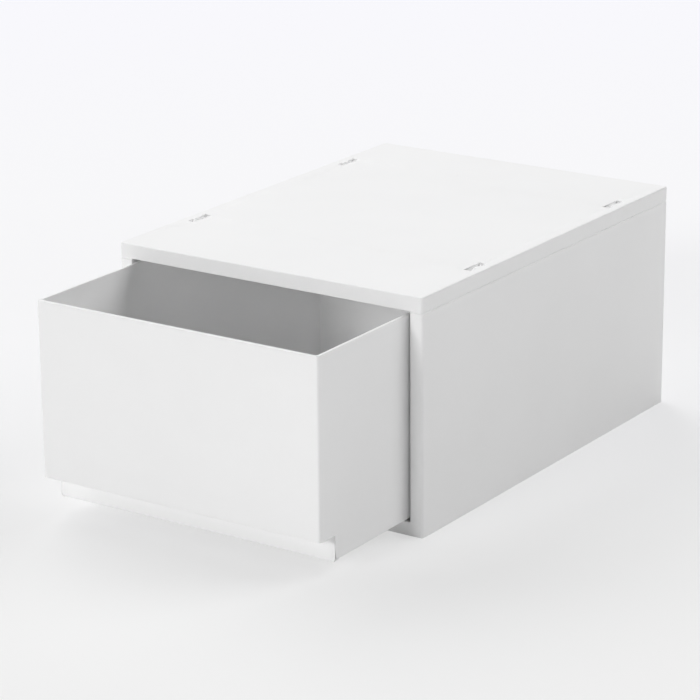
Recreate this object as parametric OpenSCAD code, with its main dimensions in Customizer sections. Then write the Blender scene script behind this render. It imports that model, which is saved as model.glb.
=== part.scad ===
// Stackable drawer box: a white plastic case that stands on a table or on
// another case, with one drawer that slides out of its front.
//
// Millimetres, +Z up. The origin is the centre of the case's footprint, on the
// surface it stands on. The drawer opens toward -Y, and +X is on the right of
// someone who faces it. The drawer is drawn pulled out by open_now.

/* [Case] */
// Outer width of the case
case_w = 260; // [220:1:320]
// Outer depth of the case, without the pulled-out drawer
case_d = 350; // [330:1:420]
// Height of the case with its top plate on
case_h = 175; // [130:1:260]
// Thickness of the shell's side and back walls
wall = 2.5; // [2:0.1:3.5]
// Radius of the upright outer corners
corner_r = 2; // [1.5:0.5:5]
// Height and depth of the groove under the top plate
groove = 0.6; // [0.3:0.1:1]

/* [Front frame] */
// Width of the post on each side of the drawer opening
post_w = 10.5; // [8:0.5:16]
// Thickness of the posts and of the sill, front to back
post_t = 3; // [2:0.5:5]
// Chamfer along the upright inner edges of the opening
post_chamfer = 0.5; // [0.4:0.1:1.5]

/* [Base] */
// Clear height between the table and the floor of the case
base_clear = 3.5; // [2:0.1:3.8]
// Thickness of the floor of the case
floor_t = 2.5; // [1.5:0.1:4]
// Thickness of the ribs under the floor
base_rib_t = 1.6; // [1:0.1:3]
// Ribs under the floor that run front to back
base_ribs_long = 5; // [3:2:9]
// Ribs under the floor that run side to side
base_ribs_cross = 7; // [3:2:11]
// Radius of the round foot in the middle of the base
base_foot_r = 12; // [8:1:20]

/* [Runners] */
// Height of the runners above the floor
runner_h = 5.7; // [3:0.1:9]
// Width of each runner
runner_w = 4; // [2:0.5:8]
// Distance from the drawer's side to the outer face of a runner
runner_inset = 10; // [8:0.5:30]
// Height of the guide fences above the floor
fence_h = 12; // [8:0.5:20]
// Thickness of the guide fences
fence_t = 2; // [1.5:0.1:3]
// Clearance between drawer and fence
fence_gap = 1; // [0.5:0.1:2]
// Clearance between what slides up and down on what carries it
run_gap = 0.3; // [0.2:0.05:0.5]

/* [Top plate] */
// Height of the plate's edge
plate_h = 11; // [9:0.5:16]
// Thickness of the plate's deck
deck_t = 3; // [2:0.1:4]
// Thickness of the plate's skirt
skirt_t = 2.5; // [2:0.1:3.5]
// Radius of the plate's upper edge
plate_edge_r = 1; // [0.5:0.1:1.4]
// Thickness of the ribs under the deck
plate_rib_t = 1.5; // [1:0.1:3]
// Height of the ribs under the deck
plate_rib_h = 3; // [2:0.5:6]
// Ribs under the deck that run front to back
plate_ribs_long = 3; // [1:1:6]
// Ribs under the deck that run side to side
plate_ribs_cross = 5; // [1:1:8]

/* [Stacking slots and clips] */
// Distance from the case's side to the middle of a slot
slot_side = 9.9; // [9:0.1:10.5]
// Distance from the case's front to the middle of the front slots
slot_front = 83.5; // [50:0.5:110]
// Distance between the front and back slots
slot_pitch = 198; // [150:1:210]
// Length of a slot
slot_l = 21.5; // [18:0.5:32]
// Width of a slot at its ends
slot_w = 5.6; // [5.5:0.1:7]
// Width of a slot's middle stretch
slot_web = 4.2; // [3:0.1:4.8]
// Length of each wide end of a slot
slot_end = 6; // [4:0.5:8]
// Depth of a slot below the deck's face
slot_depth = 5; // [4.8:0.1:5.6]
// Thickness of the floor of a slot
slot_floor_t = 1; // [0.6:0.1:1.2]
// Thickness of the collar round a slot
collar_t = 1.4; // [1:0.1:2]
// Depth of the sockets in the base
socket_depth = 10; // [8:0.1:10.2]
// Height of a stacking clip
clip_h = 9; // [6:0.1:9.4]
// Clearance between a clip and its socket, all round
clip_gap = 0.2; // [0.1:0.05:0.4]
// Depth at which a parked clip lies inside the base
clip_sunk = 0.6; // [0.3:0.1:1]

/* [Snap hooks] */
// Width of a hook
hook_w = 14; // [8:1:24]
// Thickness of a hook
hook_t = 2; // [1.5:0.1:2.4]
// Reach of a hook below the plate's skirt
hook_l = 12; // [8:0.5:16]
// Height by which a hook's barb stands out
barb = 1; // [0.5:0.1:1.4]
// Clearance round a hook and its barb
hook_gap = 0.3; // [0.2:0.05:0.4]
// Distance between neighbouring hooks along a side
hook_pitch = 145; // [140:1:150]
// Distance between the two hooks at the back
hook_pitch_back = 140; // [80:1:160]

/* [Drawer] */
// Distance by which the drawer is pulled out
open_now = 109; // [0:1:230]
// Clearance between drawer and post, on each side
side_gap = 1; // [1:0.1:3]
// Clearance between the drawer's rim and the top plate's edge
rim_gap = 2.8; // [1:0.1:4]
// Clearance behind the closed drawer
rear_gap = 6.5; // [2:0.5:10]
// Amount by which each side draws in toward the back
taper = 3; // [0.5:0.5:6]
// Thickness of the drawer's side and back walls
drawer_wall = 2.2; // [1.5:0.1:3]
// Thickness of the drawer's front
front_t = 2.5; // [2:0.1:4]
// Thickness of the drawer's floor
drawer_floor_t = 2.2; // [1.5:0.1:4]
// Radius of the drawer's upright outer corners
drawer_r = 1.6; // [0.8:0.1:4]
// Chamfer along the drawer's lower side edges
drawer_chamfer = 0.8; // [0.3:0.1:1.4]

/* [Finger pull] */
// Height of the finger pull above the drawer's underside
pull_h = 18; // [14:0.5:40]
// Depth of the finger pull behind the drawer's face
pull_d = 18.5; // [15:0.5:35]
// Height by which the pull's ceiling rises behind the front
pull_rise = 6; // [2:0.5:12]
// Thickness of the lip at the back of the pull
lip_t = 3; // [2:0.1:4]
// Height by which the lip hangs below the drawer
lip_drop = 1.5; // [1:0.1:3]
// Radius of the lip's lower corners
lip_r = 2.5; // [1:0.5:3]
// Clearance between the lip and the sill it passes over
sill_gap = 0.4; // [0.3:0.1:1]

/* [Stops] */
// Full travel of the drawer from closed to its stops
travel = 240; // [235:1:280]
// Length of a stop nib, front to back
nib_d = 6; // [4:0.5:12]
// Height of a stop nib
nib_h = 8; // [5:0.5:14]
// Distance from the drawer's rim to the top of a nib
nib_below_rim = 4; // [2:0.5:10]
// Overlap of a nib with the post that it stops on
nib_catch = 4; // [2:0.1:4.5]
// Length of the guide pads at the drawer's rear corners
pad_d = 12; // [6:1:25]
// Height of the guide pads
pad_h = 8; // [5:0.5:12]

/* [Hidden] */
$fn = 48;

// A cut runs this far past the face that it opens
past = 1;
// Two solids of one moulding sink this far into each other
weld = 0.5;

// The case, in its own frame
front_y = -case_d / 2;
back_y = case_d / 2;
inner_x = case_w / 2 - wall;
inner_back_y = back_y - wall;
inner_front_y = front_y + post_t;
inner_w = 2 * inner_x;
inner_d = inner_back_y - inner_front_y;
inner_mid_y = (inner_front_y + inner_back_y) / 2;
shell_top = case_h - plate_h;
floor_top = base_clear + floor_t;
runner_top = floor_top + runner_h;
opening_x = case_w / 2 - post_w;

// The drawer, in the case's frame
drawer_x = opening_x - side_gap;
drawer_rear_x = drawer_x - taper;
drawer_d = case_d - wall - rear_gap;
drawer_z = runner_top + run_gap;
drawer_top = shell_top - rim_gap;
drawer_y = front_y - open_now;
taper_angle = atan(taper / drawer_d);
lip_x = drawer_x - (pull_d + lip_t) * tan(taper_angle);
lip_bottom = drawer_z - lip_drop;
sill_h = lip_bottom - sill_gap;

// Runners begin just behind the lip of the closed drawer, which stops on them
runner_x = drawer_x - runner_inset - runner_w / 2;
runner_front_y = front_y + pull_d + lip_t + run_gap;
fence_x = drawer_x + fence_gap;

// Slot centres, as [side, place along the depth]
slot_x = case_w / 2 - slot_side;
slot_front_y = front_y + slot_front;
slot_rear_y = slot_front_y + slot_pitch;
slot_floor_z = case_h - slot_depth;
SLOTS = [for (side = [-1, 1], y = [slot_front_y, slot_rear_y]) [side, y]];

// Barbs of the hooks, below the skirt
barb_z = shell_top - hook_l;
barb_h = 2 * barb + 1;
hook_outer = wall + hook_gap;

case_white = [0.93, 0.93, 0.925];
drawer_white = [0.94, 0.94, 0.935];
clip_white = [0.90, 0.91, 0.90];

// Points of an arc round centre c, from angle a0 to angle a1
function arc(c, r, a0, a1, steps = 6) =
    [for (i = [0:steps]) c + r * [cos(a0 + (a1 - a0) * i / steps), sin(a0 + (a1 - a0) * i / steps)]];

// Mirrors a list of points across the Y axis and turns its order round
function mirrored(points) =
    [for (i = [len(points) - 1:-1:0]) [-points[i][0], points[i][1]]];

// Rectangle with round corners, centred on the origin
module round_rect(w, d, r) {
    square([w - 2 * r, d], center = true);
    square([w, d - 2 * r], center = true);
    for (x = [-1, 1], y = [-1, 1])
        translate([x * (w / 2 - r), y * (d / 2 - r)])
            circle(r);
}

// Plan of the drawer drawn in by inset on every side but the front, whose
// face lies at y = front, with round corners of radius r
module drawer_plan(inset, front, r) {
    tan_a = tan(taper_angle);
    sec_a = 1 / cos(taper_angle);
    rear = drawer_d - inset;
    x_front = drawer_x - inset * sec_a - front * tan_a;
    x_rear = drawer_x - inset * sec_a - rear * tan_a;
    right = concat(
        arc([x_front - r * tan_a - r * sec_a, front + r], r, -90, taper_angle),
        arc([x_rear + r * tan_a - r * sec_a, rear - r], r, taper_angle, 90));
    polygon(concat(right, mirrored(right)));
}

// C-shaped outline of a stacking slot on the right-hand side, with its tongue
// on the outer side, drawn in by inset
module slot_outline(inset = 0) {
    half_l = slot_l / 2 - inset;
    half_w = slot_w / 2 - inset;
    tongue_x = slot_web - slot_w / 2 - inset;
    tongue_y = slot_l / 2 - slot_end + inset;
    difference() {
        square([2 * half_w, 2 * half_l], center = true);
        translate([tongue_x, -tongue_y])
            square([slot_w, 2 * tongue_y]);
    }
}

// Puts its children at one slot, turned to face outward
module at_slot(slot) {
    translate([slot[0] * slot_x, slot[1], 0])
        scale_side(slot[0])
            children();
}

// Keeps its children as they are on the right, and mirrors them on the left
module scale_side(side) {
    if (side > 0) children();
    else mirror([1, 0, 0]) children();
}

// Outer outline of the case in plan, drawn in by inset
module case_outline(inset = 0) {
    round_rect(case_w - 2 * inset, case_d - 2 * inset, corner_r - inset / 2);
}

// Places of the snap hooks: a turn about Z and the shift along the wall
HOOKS = concat(
    [for (turn = [0, 180], i = [-1:1]) [turn, i * hook_pitch, case_w / 2]],
    [for (i = [-1, 1]) [90, i * hook_pitch_back / 2, case_d / 2]]);

// Puts its children at one hook, with +X pointing out through the wall
module at_hook(hook) {
    rotate([0, 0, hook[0]])
        translate([hook[2], hook[1], 0])
            children();
}

// Walls of the shell, with the groove at their top and the front opening
module shell_walls() {
    opening_w = 2 * opening_x;
    difference() {
        union() {
            linear_extrude(shell_top - groove)
                case_outline();
            linear_extrude(shell_top)
                case_outline(groove);
        }
        translate([0, inner_mid_y, -past])
            linear_extrude(shell_top + 2 * past)
                square([inner_w, inner_d], center = true);
        translate([-opening_x, front_y - past, sill_h])
            cube([opening_w, post_t + 2 * past, shell_top]);
        for (side = [-1, 1])
            translate([side * opening_x, front_y, sill_h])
                linear_extrude(shell_top)
                    rotate(45)
                        square(post_chamfer * sqrt(2), center = true);
    }
}

// Ribs and the round foot under the floor
module base_ribs() {
    for (i = [1:base_ribs_long])
        translate([-inner_x + inner_w * i / (base_ribs_long + 1), inner_mid_y, base_clear / 2])
            cube([base_rib_t, inner_d + 2 * weld, base_clear + weld], center = true);
    for (i = [1:base_ribs_cross])
        translate([0, inner_front_y + inner_d * i / (base_ribs_cross + 1), base_clear / 2])
            cube([inner_w + 2 * weld, base_rib_t, base_clear + weld], center = true);
}

// Runners that carry the drawer and fences that guide it
module runners() {
    runner_l = inner_back_y - runner_front_y;
    for (side = [-1, 1]) {
        translate([side * runner_x - runner_w / 2, runner_front_y, floor_top - weld])
            cube([runner_w, runner_l + weld, runner_h + weld]);
        scale_side(side)
            translate([fence_x, runner_front_y, floor_top - weld])
                cube([fence_t, runner_l + weld, fence_h + weld]);
    }
}

// Solid block round one clip socket
module socket_block() {
    translate([-slot_w / 2 - collar_t, -slot_l / 2 - collar_t, 0])
        cube([slot_w + 2 * collar_t, slot_l + 2 * collar_t, socket_depth + collar_t]);
}

module case_shell() {
    color(case_white)
        difference() {
            union() {
                shell_walls();
                translate([-inner_x - weld, inner_front_y - weld, base_clear])
                    cube([inner_w + 2 * weld, inner_d + 2 * weld, floor_t]);
                difference() {
                    base_ribs();
                    translate([0, 0, -past])
                        cube([2 * case_w, 2 * case_d, 2 * past], center = true);
                }
                cylinder(r = base_foot_r, h = base_clear + weld);
                runners();
                for (slot = SLOTS)
                    at_slot(slot)
                        socket_block();
            }
            for (slot = SLOTS)
                at_slot(slot)
                    translate([0, 0, -past])
                        linear_extrude(socket_depth + past)
                            slot_outline();
            for (hook = HOOKS)
                at_hook(hook)
                    translate([-wall - past, -hook_w / 2 - hook_gap, barb_z - hook_gap])
                        cube([past + barb + hook_gap, hook_w + 2 * hook_gap, barb_h + 2 * hook_gap]);
        }
}

// Right half of the plate's section with half-width x, with its round upper edge
module plate_half_section(x) {
    square([x, plate_h - plate_edge_r]);
    square([x - plate_edge_r, plate_h]);
    intersection() {
        translate([x - plate_edge_r, plate_h - plate_edge_r])
            circle(plate_edge_r);
        square([x, plate_h]);
    }
}

// Whole section of the plate with half-width x
module plate_section(x) {
    plate_half_section(x);
    mirror([1, 0, 0])
        plate_half_section(x);
}

// Plate's outer body: two crossing bars with that section, and its corners
module plate_body() {
    straight_x = case_w / 2 - corner_r;
    straight_y = case_d / 2 - corner_r;
    translate([0, 0, shell_top]) {
        rotate([90, 0, 0])
            linear_extrude(2 * straight_y, center = true)
                plate_section(case_w / 2);
        rotate([90, 0, 90])
            linear_extrude(2 * straight_x, center = true)
                plate_section(case_d / 2);
        for (x = [-1, 1], y = [-1, 1])
            translate([x * straight_x, y * straight_y, 0])
                rotate_extrude()
                    plate_half_section(corner_r);
    }
}

// Ribs under the deck
module plate_ribs() {
    rib_z = case_h - deck_t - plate_rib_h;
    hollow_w = case_w - 2 * skirt_t;
    hollow_d = case_d - 2 * skirt_t;
    for (i = [1:plate_ribs_long])
        translate([-hollow_w / 2 + hollow_w * i / (plate_ribs_long + 1), 0, rib_z + plate_rib_h / 2])
            cube([plate_rib_t, hollow_d + 2 * weld, plate_rib_h + 2 * weld], center = true);
    for (i = [1:plate_ribs_cross])
        translate([0, -hollow_d / 2 + hollow_d * i / (plate_ribs_cross + 1), rib_z + plate_rib_h / 2])
            cube([hollow_w + 2 * weld, plate_rib_t, plate_rib_h + 2 * weld], center = true);
}

// One snap hook: a root on the deck, a leg inside the wall and a barb
module snap_hook() {
    root_h = plate_h - deck_t;
    translate([-hook_outer - hook_t, -hook_w / 2, barb_z])
        cube([hook_t, hook_w, hook_l + root_h + weld]);
    translate([-hook_outer - hook_t, -hook_w / 2, shell_top + hook_gap])
        cube([hook_t + hook_gap + wall - skirt_t + weld, hook_w, root_h]);
    translate([-hook_outer, hook_w / 2, barb_z])
        rotate([90, 0, 0])
            linear_extrude(hook_w)
                polygon([[-weld, 0], [0, 0], [barb, barb_h - barb], [barb, barb_h - barb / 2],
                    [0, barb_h], [-weld, barb_h]]);
}

module top_plate() {
    color(case_white)
        difference() {
            union() {
                difference() {
                    plate_body();
                    translate([0, 0, (shell_top + case_h - deck_t) / 2 - past / 2])
                        cube([case_w - 2 * skirt_t, case_d - 2 * skirt_t, plate_h - deck_t + past],
                            center = true);
                }
                plate_ribs();
                for (hook = HOOKS)
                    at_hook(hook)
                        snap_hook();
                for (slot = SLOTS)
                    at_slot(slot)
                        translate([-slot_w / 2 - collar_t, -slot_l / 2 - collar_t,
                            slot_floor_z - slot_floor_t])
                            cube([slot_w + 2 * collar_t, slot_l + 2 * collar_t,
                                slot_depth + slot_floor_t - deck_t + weld]);
            }
            for (slot = SLOTS)
                at_slot(slot)
                    translate([0, 0, slot_floor_z])
                        linear_extrude(slot_depth + past)
                            slot_outline();
        }
}

// Solid block of the drawer before it is hollowed
module drawer_block() {
    difference() {
        translate([0, 0, drawer_z])
            linear_extrude(drawer_top - drawer_z)
                drawer_plan(0, 0, drawer_r);
        for (side = [-1, 1])
            scale_side(side)
                translate([drawer_x, 0, drawer_z])
                    rotate([-90, 0, taper_angle])
                        translate([0, 0, -drawer_d / 2])
                            linear_extrude(2 * drawer_d)
                                rotate(45)
                                    square(drawer_chamfer * sqrt(2), center = true);
    }
}

// Side view of the finger pull's hollow from depth near on, with its ceiling
// at height top above the underside, grown by grow at the back and the top
module pull_profile(near, top, grow = 0) {
    translate([near, -past])
        square([pull_d + grow - near, top + grow + past]);
}

// Extrudes a side view across the drawer, with half-width x
module across(x) {
    translate([-x, 0, drawer_z])
        rotate([90, 0, 90])
            linear_extrude(2 * x)
                children();
}

// Inside of the drawer, with the step over the finger pull left in
module drawer_hollow() {
    difference() {
        translate([0, 0, drawer_z + drawer_floor_t])
            linear_extrude(drawer_top)
                drawer_plan(drawer_wall, front_t, max(drawer_r - drawer_wall, 0.6));
        across(case_w)
            pull_profile(-past, pull_h + pull_rise, lip_t);
    }
}

// Lip at the back of the finger pull, with round lower corners
module lip() {
    lip_top = drawer_z + pull_h;
    translate([0, pull_d + lip_t, 0])
        rotate([90, 0, 0])
            linear_extrude(lip_t) {
                translate([-lip_x, lip_bottom + lip_r])
                    square([2 * lip_x, lip_top - lip_bottom - lip_r]);
                translate([-lip_x + lip_r, lip_bottom])
                    square([2 * (lip_x - lip_r), 2 * lip_r]);
                for (side = [-1, 1])
                    translate([side * (lip_x - lip_r), lip_bottom + lip_r])
                        circle(lip_r);
            }
}

// Nibs that stop the drawer on the posts, and pads that guide its rear end
module nibs_and_pads() {
    nib_x = opening_x + nib_catch;
    nib_y = travel + post_t + run_gap;
    nib_root = drawer_x - nib_y * tan(taper_angle) - drawer_wall / 2;
    pad_y = drawer_d - pad_d;
    pad_root = drawer_rear_x - drawer_wall / 2;
    for (side = [-1, 1])
        scale_side(side) {
            translate([nib_root - nib_d * tan(taper_angle), nib_y, drawer_top - nib_below_rim - nib_h])
                cube([nib_x - nib_root + nib_d * tan(taper_angle), nib_d, nib_h]);
            translate([pad_root, pad_y, drawer_z])
                cube([drawer_x - pad_root, pad_d - drawer_r, pad_h]);
        }
}

module drawer() {
    color(drawer_white)
        translate([0, drawer_y, 0]) {
            difference() {
                drawer_block();
                drawer_hollow();
                across(case_w)
                    pull_profile(-past, pull_h);
                across(drawer_x - drawer_wall)
                    pull_profile(front_t, pull_h + pull_rise);
            }
            lip();
            nibs_and_pads();
        }
}

// A clip parked in its socket in the base
module stacking_clip(slot) {
    color(clip_white)
        at_slot(slot)
            translate([0, 0, clip_sunk])
                linear_extrude(clip_h)
                    slot_outline(clip_gap);
}

module stacking_clip_front_left() { stacking_clip(SLOTS[0]); }
module stacking_clip_rear_left() { stacking_clip(SLOTS[1]); }
module stacking_clip_front_right() { stacking_clip(SLOTS[2]); }
module stacking_clip_rear_right() { stacking_clip(SLOTS[3]); }

case_shell();
top_plate();
drawer();
stacking_clip_front_left();
stacking_clip_front_right();
stacking_clip_rear_left();
stacking_clip_rear_right();
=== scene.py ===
"""Looks of the stackable drawer box: moulded polypropylene on a pale floor in soft light."""

import math

import bmesh
import bpy
from mathutils import Matrix, Vector

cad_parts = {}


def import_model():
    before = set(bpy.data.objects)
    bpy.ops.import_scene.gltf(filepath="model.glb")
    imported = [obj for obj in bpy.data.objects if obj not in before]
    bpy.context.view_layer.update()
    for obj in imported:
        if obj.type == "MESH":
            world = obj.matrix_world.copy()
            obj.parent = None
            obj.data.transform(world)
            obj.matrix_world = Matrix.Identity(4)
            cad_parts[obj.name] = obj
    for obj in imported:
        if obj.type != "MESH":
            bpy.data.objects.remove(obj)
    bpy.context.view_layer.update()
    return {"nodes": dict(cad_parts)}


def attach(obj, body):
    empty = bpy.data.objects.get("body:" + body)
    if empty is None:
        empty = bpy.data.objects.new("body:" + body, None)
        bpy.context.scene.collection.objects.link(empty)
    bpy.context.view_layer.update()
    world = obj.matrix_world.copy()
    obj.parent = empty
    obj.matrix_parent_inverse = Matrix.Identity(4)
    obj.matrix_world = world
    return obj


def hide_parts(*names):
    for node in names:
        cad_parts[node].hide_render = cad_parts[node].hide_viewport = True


MM = 0.001

# Camera: its turn about Z, its dip and its roll in degrees, its place in metres, its lens in mm
CAMERA_YAW = 34.033
CAMERA_DIP = 17.951
CAMERA_ROLL = -0.466
CAMERA_PLACE = (1.1788, -1.81647, 0.76949)
CAMERA_LENS = 154.51
SENSOR = 36.0

# Points of a CAD mesh closer than this, in metres, are one point
WELD = 0.001 * MM
# Faces that meet at less than this angle, in degrees, are one face
FLAT_ANGLE = 1.0
# Edges that meet at more than this angle, in degrees, are edges of the moulding
EDGE_ANGLE = 30.0
# Edges shorter than this, in metres, are left sharp
SHORT_EDGE = 0.2 * MM
# Largest edge radius in metres, and the number of faces across a rounded edge
LARGEST_RADIUS = 1.5 * MM
ROUND_STEPS = 3

# Edge radii in mm: inner corners, some edges by their place, and all others
SHELL_RADII = {"inner": 0.15, "foot": 0.5, "ledge": 0.8, "other": 0.2}
PLATE_RADII = {"inner": 0.2, "foot": 0.35, "slot": 0.0, "other": 0.2}
DRAWER_RADII = {"inner": 0.5, "rim": 0.7, "front_foot": 0.9, "lip": 0.6, "other": 0.3}
CLIP_RADIUS = 0.3

# An edge lies at a place when its middle is nearer than this, in mm; the ledge is near the plate
NEAR = 0.3
LEDGE_NEAR = 0.15
# The case's outer sides, in mm, and how far inside them an edge may lie and count as theirs
CASE_HALF_X = 130.0
CASE_HALF_Y = 175.0
SIDE_BAND = 2.0
# Heights of the edges, and the depth behind which an edge isn't the lip's, in mm
SHELL_LEDGE = 163.4
PLATE_FOOT = 164.0
SLOT_FLOOR = 170.0
DRAWER_RIM = 161.2
FRONT_FOOT = 30.0
LIP_TOP = 13.5
LIP_BACK = -261.5

# Plastics: the material's name, its light and dark colour, and its roughness
PLASTICS = {
    "case_white": ("case_polypropylene", (0.92, 0.92, 0.92), (0.905, 0.905, 0.905), 0.6),
    "drawer_white": ("drawer_polypropylene", (0.92, 0.92, 0.92), (0.905, 0.905, 0.905), 0.6),
    "clip_white": ("clip_polypropylene", (0.80, 0.82, 0.80), (0.77, 0.79, 0.77), 0.4),
}
PLASTIC_IOR = 1.49
# Noise: its scale per metre and its detail
CLOUD_NOISE = (14.0, 4.0)
GRAIN_NOISE = (2600.0, 2.0)
WAVE_NOISE = (22.0, 1.0)
# Noise values at which the clouding is fully dark and fully light
CLOUD_RANGE = (0.3, 0.7)
# How far the grain changes the roughness each way
GRAIN_ROUGHNESS = 0.05
# Surface relief: its strength and its depth in metres
GRAIN_RELIEF = (0.25, 0.02 * MM)
WAVE_RELIEF = (0.35, 0.3 * MM)

# White plastic passes light on from wall to wall many times
DIFFUSE_BOUNCES = 12
ALL_BOUNCES = 16

# Lamps: name, azimuth, elevation and spread in degrees, and strength
LAMPS = (
    ("left", -75, 30, 40, 0.8),
    ("back_left", -118, 45, 40, 1.5),
    ("back_right", 130, 40, 40, 1.38),
    ("front", -7, 19, 12, 1.22),
    ("front_right", 35, 16, 12, 0.26),
)
BACKDROP_COLOUR = (0.93, 0.93, 0.96)

# Half the floor's side in metres
FLOOR_HALF = 9.0
# Floor: the colour that shows at distances along the view from the origin, in metres
FLOOR_SHADES = (
    (-0.48, (0.793, 0.793, 0.793)),
    (-0.24, (0.802, 0.802, 0.802)),
    (0.08, (0.841, 0.841, 0.855)),
    (0.69, (0.895, 0.895, 0.918)),
    (1.65, (0.909, 0.905, 0.964)),
)
SHADE_STRENGTH = 1.1
# Share of the floor that shows those colours without shadows, and the colour that takes the light
FLOOR_SHOWN = 0.6
FLOOR_LIGHT = (0.95, 0.95, 0.95)


def shader_node(tree, kind, **values):
    """A shader node of that kind, with its plain properties set."""
    node = tree.nodes.new(kind)
    for name, value in values.items():
        setattr(node, name, value)
    return node


def new_material(name):
    """An empty node material, with its tree and its output node."""
    material = bpy.data.materials.new(name)
    material.use_nodes = True
    tree = material.node_tree
    tree.nodes.clear()
    return material, tree, tree.nodes.new("ShaderNodeOutputMaterial")


def noise(tree, place, scale, detail):
    """The value of a noise over the piece."""
    node = tree.nodes.new("ShaderNodeTexNoise")
    node.inputs["Scale"].default_value = scale
    node.inputs["Detail"].default_value = detail
    tree.links.new(place, node.inputs["Vector"])
    return node.outputs["Fac"]


def relief(tree, height, strength, depth):
    """A bump node that raises the surface by height."""
    node = tree.nodes.new("ShaderNodeBump")
    node.inputs["Strength"].default_value = strength
    node.inputs["Distance"].default_value = depth
    tree.links.new(height, node.inputs["Height"])
    return node


def polypropylene(name, light, dark, roughness):
    """Moulded polypropylene: fine grain, faint clouding of the colour, slow surface waves."""
    material, tree, output = new_material(name)
    link = tree.links.new
    shader = tree.nodes.new("ShaderNodeBsdfPrincipled")
    place = tree.nodes.new("ShaderNodeTexCoord").outputs["Object"]
    cloud, grain, wave = (noise(tree, place, *n) for n in (CLOUD_NOISE, GRAIN_NOISE, WAVE_NOISE))

    colour = tree.nodes.new("ShaderNodeValToRGB")
    for stop, position, shade in zip(colour.color_ramp.elements, CLOUD_RANGE, (dark, light)):
        stop.position = position
        stop.color = (*shade, 1.0)
    link(cloud, colour.inputs["Fac"])
    link(colour.outputs["Color"], shader.inputs["Base Color"])

    rough = tree.nodes.new("ShaderNodeMapRange")
    rough.inputs["To Min"].default_value = roughness - GRAIN_ROUGHNESS
    rough.inputs["To Max"].default_value = roughness + GRAIN_ROUGHNESS
    link(grain, rough.inputs["Value"])
    link(rough.outputs["Result"], shader.inputs["Roughness"])

    slow = relief(tree, wave, *WAVE_RELIEF)
    fine = relief(tree, grain, *GRAIN_RELIEF)
    link(slow.outputs["Normal"], fine.inputs["Normal"])
    link(fine.outputs["Normal"], shader.inputs["Normal"])

    shader.inputs["IOR"].default_value = PLASTIC_IOR
    link(shader.outputs["BSDF"], output.inputs["Surface"])
    return material


def on_case_side(middle):
    """True where an edge lies on the case's outer sides."""
    return (
        abs(middle.x) > CASE_HALF_X - SIDE_BAND - NEAR
        or abs(middle.y) > CASE_HALF_Y - SIDE_BAND - NEAR
    )


def shell_edge(middle, concave):
    """Edge radius of the case shell at a middle in mm."""
    if concave:
        return SHELL_RADII["inner"]
    if middle.z < NEAR and on_case_side(middle):
        return SHELL_RADII["foot"]
    if abs(middle.z - SHELL_LEDGE) < LEDGE_NEAR and on_case_side(middle):
        return SHELL_RADII["ledge"]
    return SHELL_RADII["other"]


def plate_edge(middle, concave):
    """Edge radius of the top plate at a middle in mm."""
    if concave:
        return PLATE_RADII["inner"]
    if abs(middle.z - PLATE_FOOT) < NEAR and on_case_side(middle):
        return PLATE_RADII["foot"]
    if middle.z > SLOT_FLOOR - NEAR and not on_case_side(middle):
        return PLATE_RADII["slot"]
    return PLATE_RADII["other"]


def drawer_edge(middle, concave):
    """Edge radius of the drawer at a middle in mm."""
    if concave:
        return DRAWER_RADII["inner"]
    if abs(middle.z - DRAWER_RIM) < NEAR:
        return DRAWER_RADII["rim"]
    if abs(middle.z - FRONT_FOOT) < NEAR:
        return DRAWER_RADII["front_foot"]
    if middle.z < LIP_TOP and middle.y < LIP_BACK:
        return DRAWER_RADII["lip"]
    return DRAWER_RADII["other"]


def clip_edge(middle, concave):
    """Edge radius of a stacking clip, which is the same all over."""
    return CLIP_RADIUS


def moulding(node, body, slot, edge_radius):
    """A piece with the node's shape and its edges rounded by edge_radius(middle, concave) in mm."""
    name = node + "_moulding"
    mesh = bpy.data.meshes.new(name)
    bm = bmesh.new()
    bm.from_mesh(frame["nodes"][node].data)
    bmesh.ops.remove_doubles(bm, verts=bm.verts, dist=WELD)
    flat = math.radians(FLAT_ANGLE)
    bmesh.ops.dissolve_limit(bm, angle_limit=flat, verts=bm.verts, edges=bm.edges)
    bmesh.ops.triangulate(bm, faces=bm.faces)
    weight = bm.edges.layers.float.new("bevel_weight_edge")
    for edge in bm.edges:
        sharp = edge.is_manifold and edge.calc_face_angle(0.0) > math.radians(EDGE_ANGLE)
        edge.smooth = not sharp
        if sharp and edge.calc_length() > SHORT_EDGE:
            a, b = (v.co for v in edge.verts)
            concave = edge.calc_face_angle_signed(0.0) < 0
            edge[weight] = edge_radius((a + b) / (2 * MM), concave) * MM / LARGEST_RADIUS
    for face in bm.faces:
        face.smooth = True
    bm.to_mesh(mesh)
    bm.free()
    piece = bpy.data.objects.new(name, mesh)
    bpy.context.scene.collection.objects.link(piece)
    bevel = piece.modifiers.new("edges", "BEVEL")
    bevel.width = LARGEST_RADIUS
    bevel.segments = ROUND_STEPS
    bevel.limit_method = "WEIGHT"
    bevel.use_clamp_overlap = False
    bevel.miter_outer = "MITER_ARC"
    even = piece.modifiers.new("even_faces", "WEIGHTED_NORMAL")
    even.keep_sharp = True
    mesh.materials.append(plastics[slot])
    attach(piece, body)
    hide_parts(node)


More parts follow.
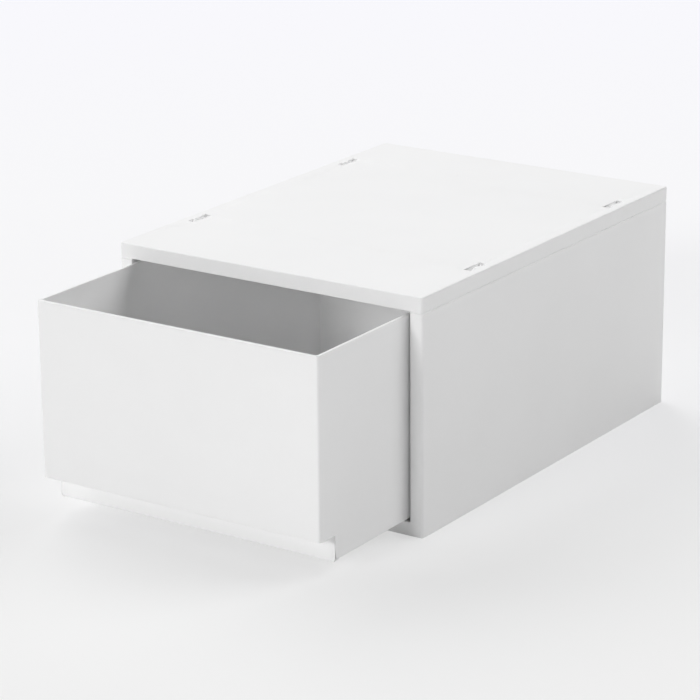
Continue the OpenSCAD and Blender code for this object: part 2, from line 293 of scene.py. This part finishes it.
def camera():
    """The camera at the photograph's place; gives the direction that it looks in."""
    yaw, dip, roll = (math.radians(a) for a in (CAMERA_YAW, CAMERA_DIP, CAMERA_ROLL))
    level = Vector((math.cos(yaw), math.sin(yaw), 0.0))
    forward = Vector((-math.sin(yaw), math.cos(yaw), 0.0))
    ahead = Vector((forward.x * math.cos(dip), forward.y * math.cos(dip), -math.sin(dip)))
    upright = level.cross(ahead)
    right = level * math.cos(roll) + upright * math.sin(roll)
    up = upright * math.cos(roll) - level * math.sin(roll)
    data = bpy.data.cameras.new("camera")
    data.lens = CAMERA_LENS
    data.sensor_width = SENSOR
    eye = bpy.data.objects.new("camera", data)
    turn = Matrix((right, up, -ahead)).transposed().to_4x4()
    eye.matrix_world = Matrix.Translation(CAMERA_PLACE) @ turn
    bpy.context.scene.collection.objects.link(eye)
    bpy.context.scene.camera = eye
    return ahead


def sun(name, azimuth, elevation, spread, strength):
    """A soft distant lamp; its azimuth is 0 from -Y and 90 from +X, and all angles are degrees."""
    data = bpy.data.lights.new(name, "SUN")
    data.energy = strength
    data.angle = math.radians(spread)
    lamp = bpy.data.objects.new(name, data)
    a, e = math.radians(azimuth), math.radians(elevation)
    back = Vector((math.sin(a) * math.cos(e), -math.cos(a) * math.cos(e), math.sin(e)))
    lamp.rotation_mode = "QUATERNION"
    lamp.rotation_quaternion = back.to_track_quat("Z", "Y")
    bpy.context.scene.collection.objects.link(lamp)


def pale_rays(tree):
    """A socket that is 1 for camera, glossy and transmission rays, which see the plain backdrop."""
    rays = tree.nodes.new("ShaderNodeLightPath")
    share = rays.outputs["Is Camera Ray"]
    for kind in ("Is Glossy Ray", "Is Transmission Ray"):
        either = shader_node(tree, "ShaderNodeMath", operation="MAXIMUM")
        tree.links.new(share, either.inputs[0])
        tree.links.new(rays.outputs[kind], either.inputs[1])
        share = either.outputs["Value"]
    return share


def world():
    """The pale backdrop, which only the camera and the gloss see: the lamps give all the light."""
    made = bpy.data.worlds.new("studio")
    bpy.context.scene.world = made
    made.use_nodes = True
    tree = made.node_tree
    tree.nodes.clear()
    backdrop = tree.nodes.new("ShaderNodeBackground")
    backdrop.inputs["Color"].default_value = (*BACKDROP_COLOUR, 1.0)
    output = tree.nodes.new("ShaderNodeOutputWorld")
    tree.links.new(pale_rays(tree), backdrop.inputs["Strength"])
    tree.links.new(backdrop.outputs["Background"], output.inputs["Surface"])


def floor_shade(tree, ahead):
    """The floor's shown colour, which turns lighter and cooler away from the photo's viewpoint."""
    link = tree.links.new
    place = tree.nodes.new("ShaderNodeTexCoord")
    along = shader_node(tree, "ShaderNodeVectorMath", operation="DOT_PRODUCT")
    along.inputs[1].default_value = Vector((ahead.x, ahead.y, 0.0)).normalized()
    near, far = FLOOR_SHADES[0][0], FLOOR_SHADES[-1][0]
    reach = tree.nodes.new("ShaderNodeMapRange")
    reach.inputs["From Min"].default_value = near
    reach.inputs["From Max"].default_value = far
    shade = tree.nodes.new("ShaderNodeValToRGB")
    stops = shade.color_ramp.elements
    while len(stops) < len(FLOOR_SHADES):
        stops.new(0.5)
    for stop, (distance, colour) in zip(stops, FLOOR_SHADES):
        stop.position = (distance - near) / (far - near)
        stop.color = (*colour, 1.0)
    link(place.outputs["Object"], along.inputs[0])
    link(along.outputs["Value"], reach.inputs["Value"])
    link(reach.outputs["Result"], shade.inputs["Fac"])
    return shade.outputs["Color"]


def floor(ahead):
    """A wide pale floor that takes the box's shadow and shows part of its colour without it."""
    half = FLOOR_HALF
    corners = [(-half, -half, 0), (half, -half, 0), (half, half, 0), (-half, half, 0)]
    mesh = bpy.data.meshes.new("floor")
    mesh.from_pydata(corners, [], [(0, 1, 2, 3)])
    plane = bpy.data.objects.new("floor", mesh)
    bpy.context.scene.collection.objects.link(plane)
    material, tree, output = new_material("floor")
    link = tree.links.new
    lit = tree.nodes.new("ShaderNodeBsdfDiffuse")
    lit.inputs["Color"].default_value = (*FLOOR_LIGHT, 1.0)
    shown = tree.nodes.new("ShaderNodeEmission")
    shown.inputs["Strength"].default_value = SHADE_STRENGTH
    share = shader_node(tree, "ShaderNodeMath", operation="MULTIPLY")
    share.inputs[1].default_value = FLOOR_SHOWN
    mix = tree.nodes.new("ShaderNodeMixShader")
    link(floor_shade(tree, ahead), shown.inputs["Color"])
    link(pale_rays(tree), share.inputs[0])
    link(share.outputs["Value"], mix.inputs["Fac"])
    link(lit.outputs["BSDF"], mix.inputs[1])
    link(shown.outputs["Emission"], mix.inputs[2])
    link(mix.outputs["Shader"], output.inputs["Surface"])
    mesh.materials.append(material)


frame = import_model()
scene = bpy.context.scene
scene.view_settings.view_transform = "Standard"
scene.cycles.diffuse_bounces = DIFFUSE_BOUNCES
scene.cycles.max_bounces = ALL_BOUNCES

floor(camera())

plastics = {slot: polypropylene(*look) for slot, look in PLASTICS.items()}
moulding("case_shell", "case", "case_white", shell_edge)
moulding("top_plate", "case", "case_white", plate_edge)
moulding("drawer", "drawer", "drawer_white", drawer_edge)
for node in sorted(frame["nodes"]):
    if node.startswith("stacking_clip"):
        moulding(node, "case", "clip_white", clip_edge)

world()
for lamp in LAMPS:
    sun(*lamp)
